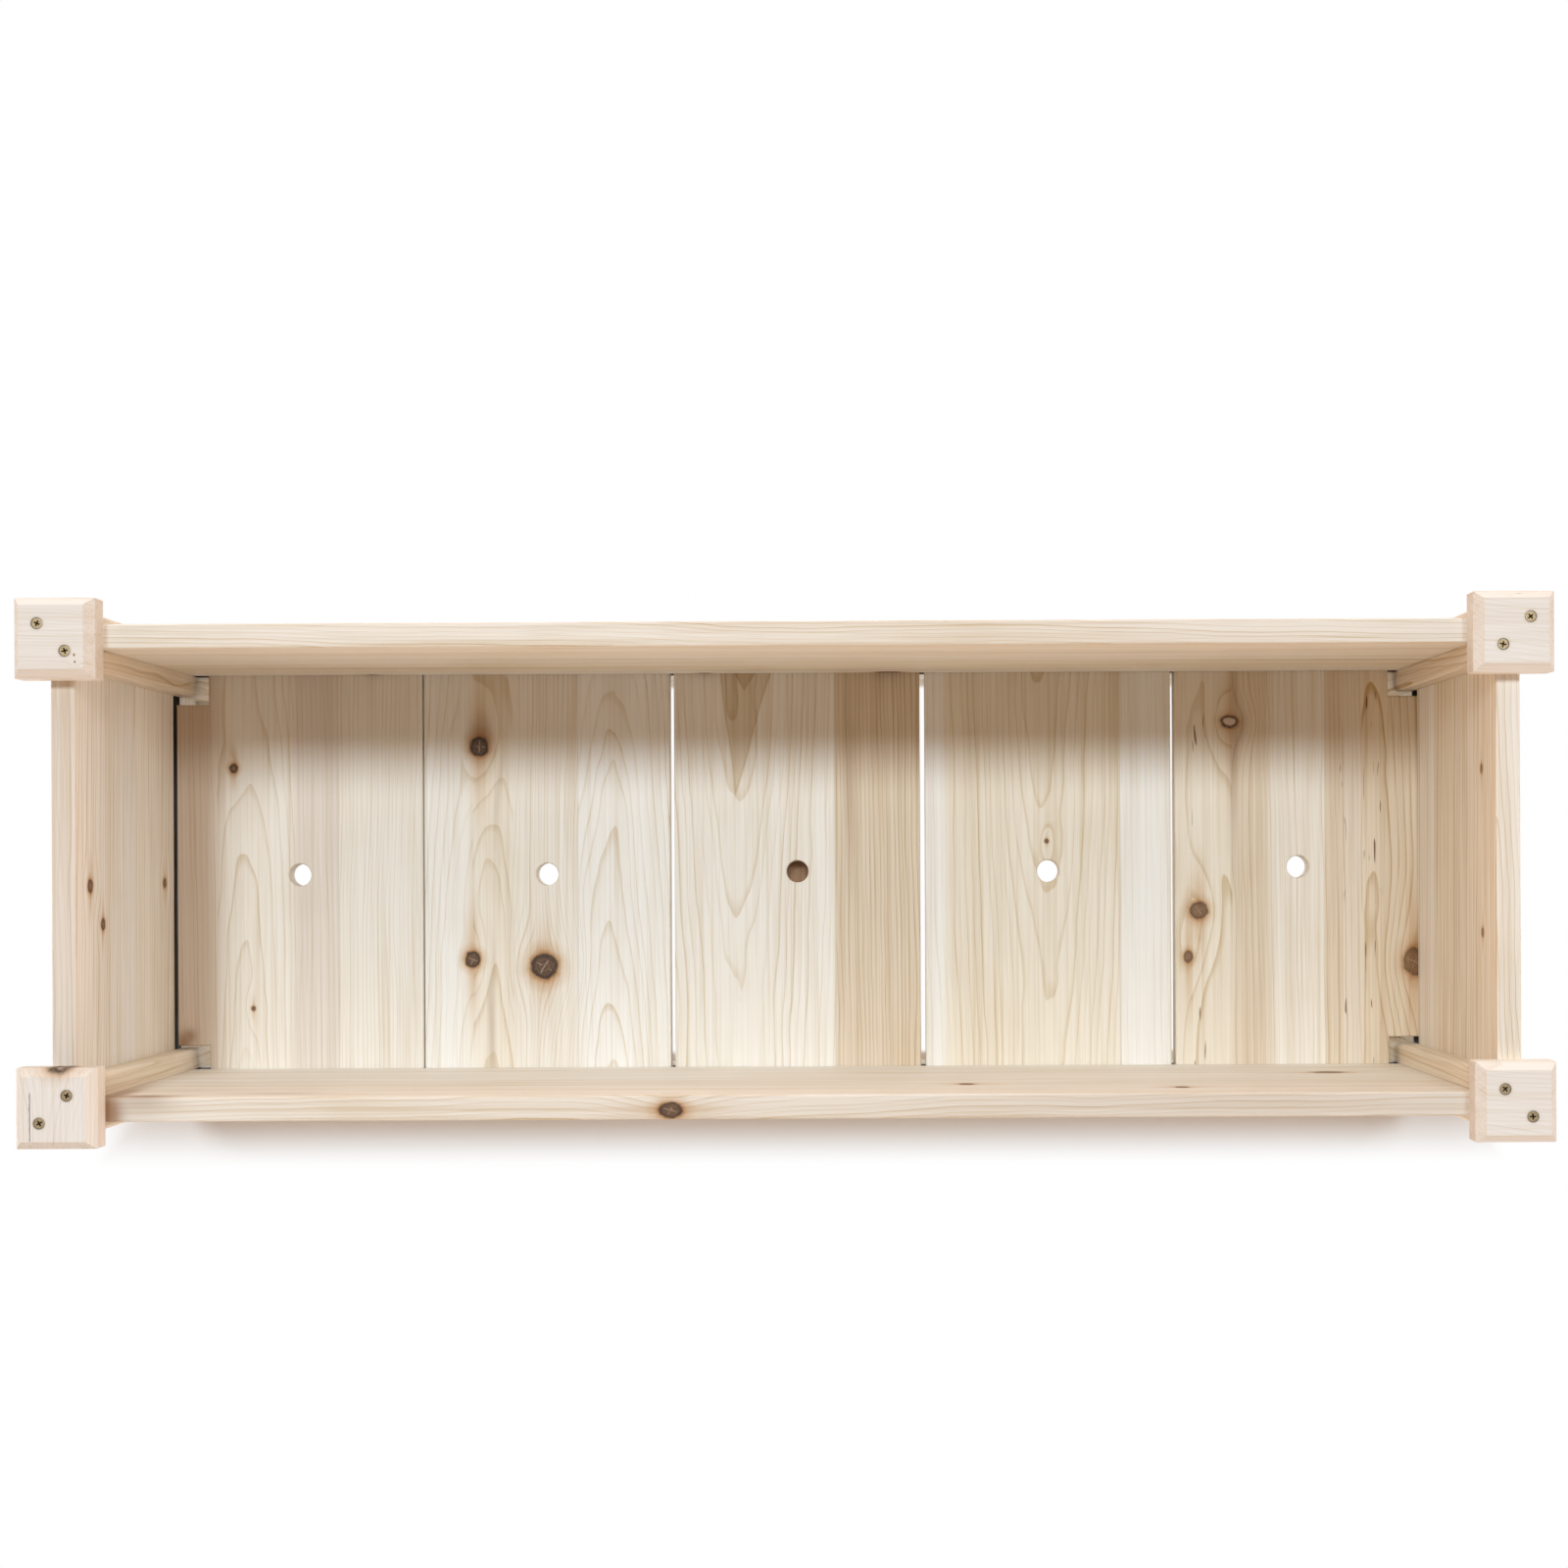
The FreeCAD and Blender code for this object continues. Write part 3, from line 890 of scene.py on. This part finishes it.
# ---- Stage, light and camera ----

# The photograph shows its white background through the floor's gaps and drain holes.
# These are the places on the ground that the camera sees through them, in millimetres.
SEEN_GAPS = (-110.8, 108.8, 328.4)
SEEN_HOLES = ((-436.5, -2.5), (-219.4, -2.9), (218.9, -2.2), (436.7, 0.6))

WHITE = (1, 1, 1, 1)
STAGE = (0.86, 0.85, 0.84, 1)
ZENITH = (0.04, 0.035, 0.028, 1)
HORIZON = (2.6, 1.94, 1.5, 1)
KEY_COLOUR = (0.91, 1.03, 1.12)


def background_rays(tree):
    """1 for the rays that see the background as white: camera, glossy and transmission."""
    path = tree.nodes.new("ShaderNodeLightPath")
    camera_ray, glossy_ray, clear_ray = (
        Value(tree, path.outputs["Is %s Ray" % kind])
        for kind in ("Camera", "Glossy", "Transmission")
    )
    return camera_ray.math("MAXIMUM", glossy_ray).math("MAXIMUM", clear_ray)


def seen_through(x, y):
    """1 where the camera sees the ground through the bed's floor, and 0 elsewhere."""
    through = y * 0.0
    for gap in SEEN_GAPS:
        slit = (x - gap).bell(7.0) * y.math("ABSOLUTE").rise(158, 163).inverse()
        through = through.math("MAXIMUM", slit)
    for hole_x, hole_y in SEEN_HOLES:
        disc = length(x - hole_x, y - hole_y).rise(13, 16).inverse()
        through = through.math("MAXIMUM", disc)
    return through


def stage_floor():
    """A pale floor that turns white away from the bed and, seen from above, in the gaps
    and drain holes of the bed's floor."""
    size = 12.0
    mesh = bpy.data.meshes.new("stage_floor")
    corners = [(-size, -size, 0), (size, -size, 0), (size, size, 0), (-size, size, 0)]
    mesh.from_pydata(corners, [], [(0, 1, 2, 3)])
    floor = bpy.data.objects.new("stage_floor", mesh)
    bpy.context.scene.collection.objects.link(floor)

    material, tree, shader = new_material("stage_floor")
    output = next(node for node in tree.nodes if node.type == "OUTPUT_MATERIAL")
    shader.inputs["Base Color"].default_value = STAGE
    shader.inputs["Roughness"].default_value = 1.0
    shader.inputs["Specular IOR Level"].default_value = 0.0
    x, y, _ = [part * 1000.0 for part in split(coordinates(tree))]

    # The millimetres from the bed, times three behind it, where the shadow is short.
    beyond = (x.math("ABSOLUTE") - 560.0).math("MAXIMUM", (-y) - 200.0)
    beyond = beyond.math("MAXIMUM", (y - 196.0) * 3.0)
    away = beyond.rise(12.0, 62.0)
    geometry = tree.nodes.new("ShaderNodeNewGeometry")
    from_above = split(Value(tree, geometry.outputs["Incoming"]))[2].rise(0.85, 0.95)
    white = away.math("MAXIMUM", seen_through(x, y) * from_above)

    # For all other rays it is a light table, which brightens the walls of the bed's
    # drain holes and notches from below.
    table = x.math("ABSOLUTE").rise(480, 500).inverse()
    table = table * y.math("ABSOLUTE").rise(120, 140).inverse()
    seen = background_rays(tree)
    glow = tree.nodes.new("ShaderNodeEmission")
    glow.inputs["Color"].default_value = WHITE
    glow.inputs["Strength"].default_value = 1.0
    mix = tree.nodes.new("ShaderNodeMixShader")
    feed(tree, mix.inputs[0], white * seen + table * seen.inverse())
    tree.links.new(shader.outputs[0], mix.inputs[1])
    tree.links.new(glow.outputs[0], mix.inputs[2])
    tree.links.new(mix.outputs[0], output.inputs["Surface"])
    mesh.materials.append(material)


stage_floor()

# A dark sky over a bright warm horizon, as a studio's lit walls, and white where the
# background itself is seen.
world = bpy.data.worlds.new("studio")
world.use_nodes = True
tree = world.node_tree
tree.nodes.clear()
output = tree.nodes.new("ShaderNodeOutputWorld")
up = split(coordinates(tree, "Generated"))[2].math("MAXIMUM", 0.0)
near_horizon = up.inverse() * up.inverse()
soft = tree.nodes.new("ShaderNodeBackground")
feed(tree, soft.inputs["Color"], mixed(tree, near_horizon, ZENITH, HORIZON))
white = tree.nodes.new("ShaderNodeBackground")
white.inputs["Color"].default_value = WHITE
mix = tree.nodes.new("ShaderNodeMixShader")
feed(tree, mix.inputs[0], background_rays(tree))
tree.links.new(soft.outputs[0], mix.inputs[1])
tree.links.new(white.outputs[0], mix.inputs[2])
tree.links.new(mix.outputs[0], output.inputs["Surface"])
bpy.context.scene.world = world

# Two broad suns stand in for soft boxes behind the bed, to its left and to its right.
for side, energy in ((1, 1.08), (-1, 0.88)):
    key = bpy.data.lights.new("key", "SUN")
    key.energy = energy
    key.angle = math.radians(14)
    key.color = KEY_COLOUR
    lamp = bpy.data.objects.new("key", key)
    lamp.rotation_euler = Vector((side * 0.25, -0.41, -1)).to_track_quat("-Z", "Y").to_euler()
    bpy.context.scene.collection.objects.link(lamp)

# The camera looks straight down. Its height comes from how much larger the rim looks
# than the floor, and the shifts put the bed where the photograph has it.
camera = bpy.data.cameras.new("camera")
camera.lens = 40.5
camera.sensor_width = 36
camera.shift_x = -0.0516
camera.shift_y = 0.0537
camera.clip_start = 0.05
camera.clip_end = 40
eye = bpy.data.objects.new("camera", camera)
eye.location = (0.0579, 0.001, 1.552)
eye.rotation_euler = (0, 0, math.radians(-0.27))
bpy.context.scene.collection.objects.link(eye)
bpy.context.scene.camera = eye
bpy.context.scene.view_settings.view_transform = "Standard"
